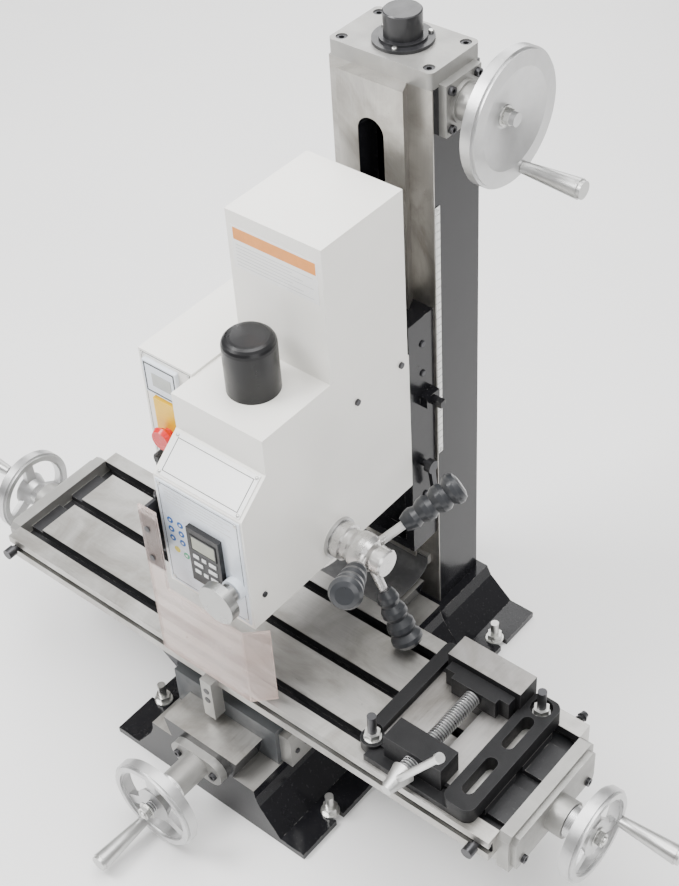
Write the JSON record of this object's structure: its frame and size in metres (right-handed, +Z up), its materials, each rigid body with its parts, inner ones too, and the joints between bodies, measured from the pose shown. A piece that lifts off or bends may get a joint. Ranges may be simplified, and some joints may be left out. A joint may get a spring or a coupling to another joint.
{
  "type": "benchtop milling machine",
  "caption": "Small vertical knee-less milling machine with a dovetail column, tilted control head, cross-slide table, handwheels and a clamped vise.",
  "frame": {"origin": "underside of the base, at the centre of the four hold-down slots, in the plane of spindle and column", "axes": "+Z up along the column, -Y towards the operator, +X to the operator's right along the table"},
  "size_m": [0.984, 0.6195, 0.812],
  "materials": {
    "black_paint": "gloss black enamel",
    "white_paint": "semi-gloss white powder coat",
    "dark_paint": "satin dark grey",
    "grey_casting": "painted light grey casting",
    "ground_steel": "ground and scraped",
    "bright_steel": "turned bright",
    "dark_steel": "blackened",
    "wheel_aluminium": "polished",
    "grip_plastic": "moulded black",
    "black_plastic": "textured black",
    "red_plastic": "red",
    "yellow_plastic": "yellow",
    "clear_plastic": "clear polycarbonate",
    "black_rubber": "ribbed black",
    "nut_bronze": "cast bronze"
  },
  "bodies": {
    "frame": {"base": "black_paint", "column": "black_paint", "column_top_plate": "grey_casting", "frame_screws": "dark_steel", "screw_cap": "black_plastic", "z_housing": "grey_casting", "y_screw_bracket": "grey_casting", "way_cover_bar": "grey_casting", "way_cover": "black_rubber"},
    "saddle": {"saddle": "dark_paint", "screw_nuts": "nut_bronze", "saddle_brackets": "grey_casting"},
    "saddle_lock": {"saddle_lock_lever": "bright_steel"},
    "table": {"table": "ground_steel", "table_end_caps": "grey_casting", "table_fittings": "dark_steel", "vise_body": "dark_paint"},
    "x_screw": {"x_lead_screw": "bright_steel", "x_dials": "wheel_aluminium", "x_handwheels": "wheel_aluminium"},
    "x_left_handle": {"x_left_handle": "wheel_aluminium"},
    "x_right_handle": {"x_right_handle": "wheel_aluminium"},
    "vise_jaw": {"vise_jaw": "dark_paint"},
    "vise_screw": {"vise_screw": "bright_steel"},
    "vise_bar": {"vise_bar": "bright_steel"},
    "y_screw": {"y_lead_screw": "bright_steel", "y_dial": "wheel_aluminium", "y_handwheel": "wheel_aluminium"},
    "y_handle": {"y_handle": "wheel_aluminium"},
    "z_screw": {"z_lead_screw": "bright_steel"},
    "z_crank": {"z_pinion_shaft": "bright_steel", "z_handwheel": "wheel_aluminium"},
    "z_handle": {"z_handle": "wheel_aluminium"},
    "head": {"head_casting": "black_paint", "head_cover": "white_paint", "motor_cover": "white_paint", "motor": "dark_paint", "z_nut": "nut_bronze", "cover_screws": "dark_steel", "control_panel": "white_paint", "depth_display": "black_plastic", "drawbar_cap": "black_plastic", "control_box": "white_paint", "speed_display": "black_plastic", "stop_switch_housing": "yellow_plastic", "guard_bracket": "dark_steel", "drive_belt": "black_rubber"},
    "head_lock": {"head_lock_lever": "dark_steel"},
    "motor_pulley": {"motor_pulley": "wheel_aluminium"},
    "spindle_pulley": {"spindle_pulley": "wheel_aluminium"},
    "quill": {"quill": "ground_steel"},
    "spindle": {"spindle": "bright_steel", "drawbar": "dark_steel"},
    "feed_levers": {"feed_hub": "dark_steel", "feed_grips": "grip_plastic"},
    "fine_feed_knob": {"fine_feed_knob": "black_plastic"},
    "stop_button": {"stop_button": "red_plastic"},
    "selector_knob": {"selector_knob": "black_plastic"},
    "guard": {"guard_arm": "dark_steel", "guard_shield": "clear_plastic"}
  },
  "joints": [
    {"name": "saddle_y", "type": "slide", "parent": "frame", "child": "saddle", "axis": [0, 1, 0], "range_m": [-0.04, 0.09], "deforming": ["way_cover"]},
    {"name": "table_x", "type": "slide", "parent": "saddle", "child": "table", "axis": [1, 0, 0], "range_m": [-0.018, 0.226]},
    {"name": "head_z", "type": "slide", "parent": "frame", "child": "head", "axis": [0, 0, 1], "range_m": [0, 0.24]},
    {"name": "y_screw_turn", "type": "hinge", "parent": "frame", "child": "y_screw", "pos_m": [0, -0.296, 0.067], "axis": [0, 1, 0], "range_deg": [-7300, 16300]},
    {"name": "x_screw_turn", "type": "hinge", "parent": "table", "child": "x_screw", "pos_m": [0.014, -0.092, 0.153], "axis": [1, 0, 0], "range_deg": [-3300, 40800]},
    {"name": "z_screw_turn", "type": "hinge", "parent": "frame", "child": "z_screw", "pos_m": [0, 0.176, 0.4], "axis": [0, 0, 1], "range_deg": [-10, 28900]},
    {"name": "z_crank_turn", "type": "hinge", "parent": "frame", "child": "z_crank", "pos_m": [0.124, 0.176, 0.737], "axis": [1, 0, 0], "range_deg": [-10, 28900]},
    {"name": "y_handle_spin", "type": "hinge", "parent": "y_screw", "child": "y_handle", "pos_m": [-0.021, -0.33, 0.021], "axis": [0, 1, 0], "continuous": true},
    {"name": "x_left_handle_spin", "type": "hinge", "parent": "x_screw", "child": "x_left_handle", "pos_m": [-0.44, -0.112, 0.195], "axis": [1, 0, 0], "continuous": true},
    {"name": "x_right_handle_spin", "type": "hinge", "parent": "x_screw", "child": "x_right_handle", "pos_m": [0.47, -0.05, 0.133], "axis": [1, 0, 0], "continuous": true},
    {"name": "z_handle_spin", "type": "hinge", "parent": "z_crank", "child": "z_handle", "pos_m": [0.17, 0.19, 0.677], "axis": [1, 0, 0], "continuous": true},
    {"name": "vise_jaw_y", "type": "slide", "parent": "table", "child": "vise_jaw", "axis": [0, 1, 0], "range_m": [-0.07, 0]},
    {"name": "vise_screw_turn", "type": "hinge", "parent": "vise_jaw", "child": "vise_screw", "pos_m": [0.258, -0.12, 0.211], "axis": [0, 1, 0], "range_deg": [-6400, 10]},
    {"name": "vise_bar_slide", "type": "slide", "parent": "vise_screw", "child": "vise_bar", "axis": [0.5592, 0, 0.829], "range_m": [-0.08, 0]},
    {"name": "saddle_lock_turn", "type": "hinge", "parent": "saddle", "child": "saddle_lock", "pos_m": [-0.085, -0.151, 0.098], "axis": [1, 0, 0], "range_deg": [-50, 20]},
    {"name": "head_lock_turn", "type": "hinge", "parent": "head", "child": "head_lock", "pos_m": [0.066, 0.116, 0.3], "axis": [1, 0, 0], "range_deg": [-60, 60]},
    {"name": "quill_feed", "type": "slide", "parent": "head", "child": "quill", "axis": [0, 0, 1], "range_m": [-0.05, 0]},
    {"name": "spindle_spin", "type": "hinge", "parent": "quill", "child": "spindle", "pos_m": [0, -0.075, 0.4], "axis": [0, 0, 1], "continuous": true},
    {"name": "spindle_pulley_spin", "type": "hinge", "parent": "head", "child": "spindle_pulley", "pos_m": [0, -0.075, 0.46], "axis": [0, 0, 1], "continuous": true},
    {"name": "motor_pulley_spin", "type": "hinge", "parent": "head", "child": "motor_pulley", "pos_m": [0, 0.032, 0.46], "axis": [0, 0, 1], "continuous": true},
    {"name": "feed_lever_turn", "type": "hinge", "parent": "head", "child": "feed_levers", "pos_m": [0.09, -0.035, 0.306], "axis": [1, 0, 0], "range_deg": [-5, 245]},
    {"name": "fine_feed_turn", "type": "hinge", "parent": "head", "child": "fine_feed_knob", "pos_m": [0.043, -0.2, 0.337], "axis": [0, 1, 0], "continuous": true},
    {"name": "stop_button_press", "type": "slide", "parent": "head", "child": "stop_button", "axis": [0, 1, 0], "range_m": [0, 0.004], "stiffness_N_per_m": 900, "springref_m": -0.002},
    {"name": "selector_turn", "type": "hinge", "parent": "head", "child": "selector_knob", "pos_m": [-0.108, -0.11, 0.386], "axis": [0, 1, 0], "range_deg": [-60, 60]},
    {"name": "guard_swing", "type": "hinge", "parent": "head", "child": "guard", "pos_m": [-0.066, -0.164, 0.35], "axis": [0, 0, 1], "range_deg": [-110, 0]}
  ],
  "couplings": [
    {"joint": "y_screw_turn", "follows": "saddle_y", "rad_per_m": 3141.6},
    {"joint": "x_screw_turn", "follows": "table_x", "rad_per_m": 3141.6},
    {"joint": "z_screw_turn", "follows": "head_z", "rad_per_m": 2094.4},
    {"joint": "z_crank_turn", "follows": "head_z", "rad_per_m": 2094.4},
    {"joint": "vise_screw_turn", "follows": "vise_jaw_y", "rad_per_m": 1570.8},
    {"joint": "spindle_pulley_spin", "follows": "spindle_spin", "ratio": 1},
    {"joint": "motor_pulley_spin", "follows": "spindle_spin", "ratio": 1},
    {"joint": "feed_lever_turn", "follows": "quill_feed", "rad_per_m": -83.776}
  ]
}
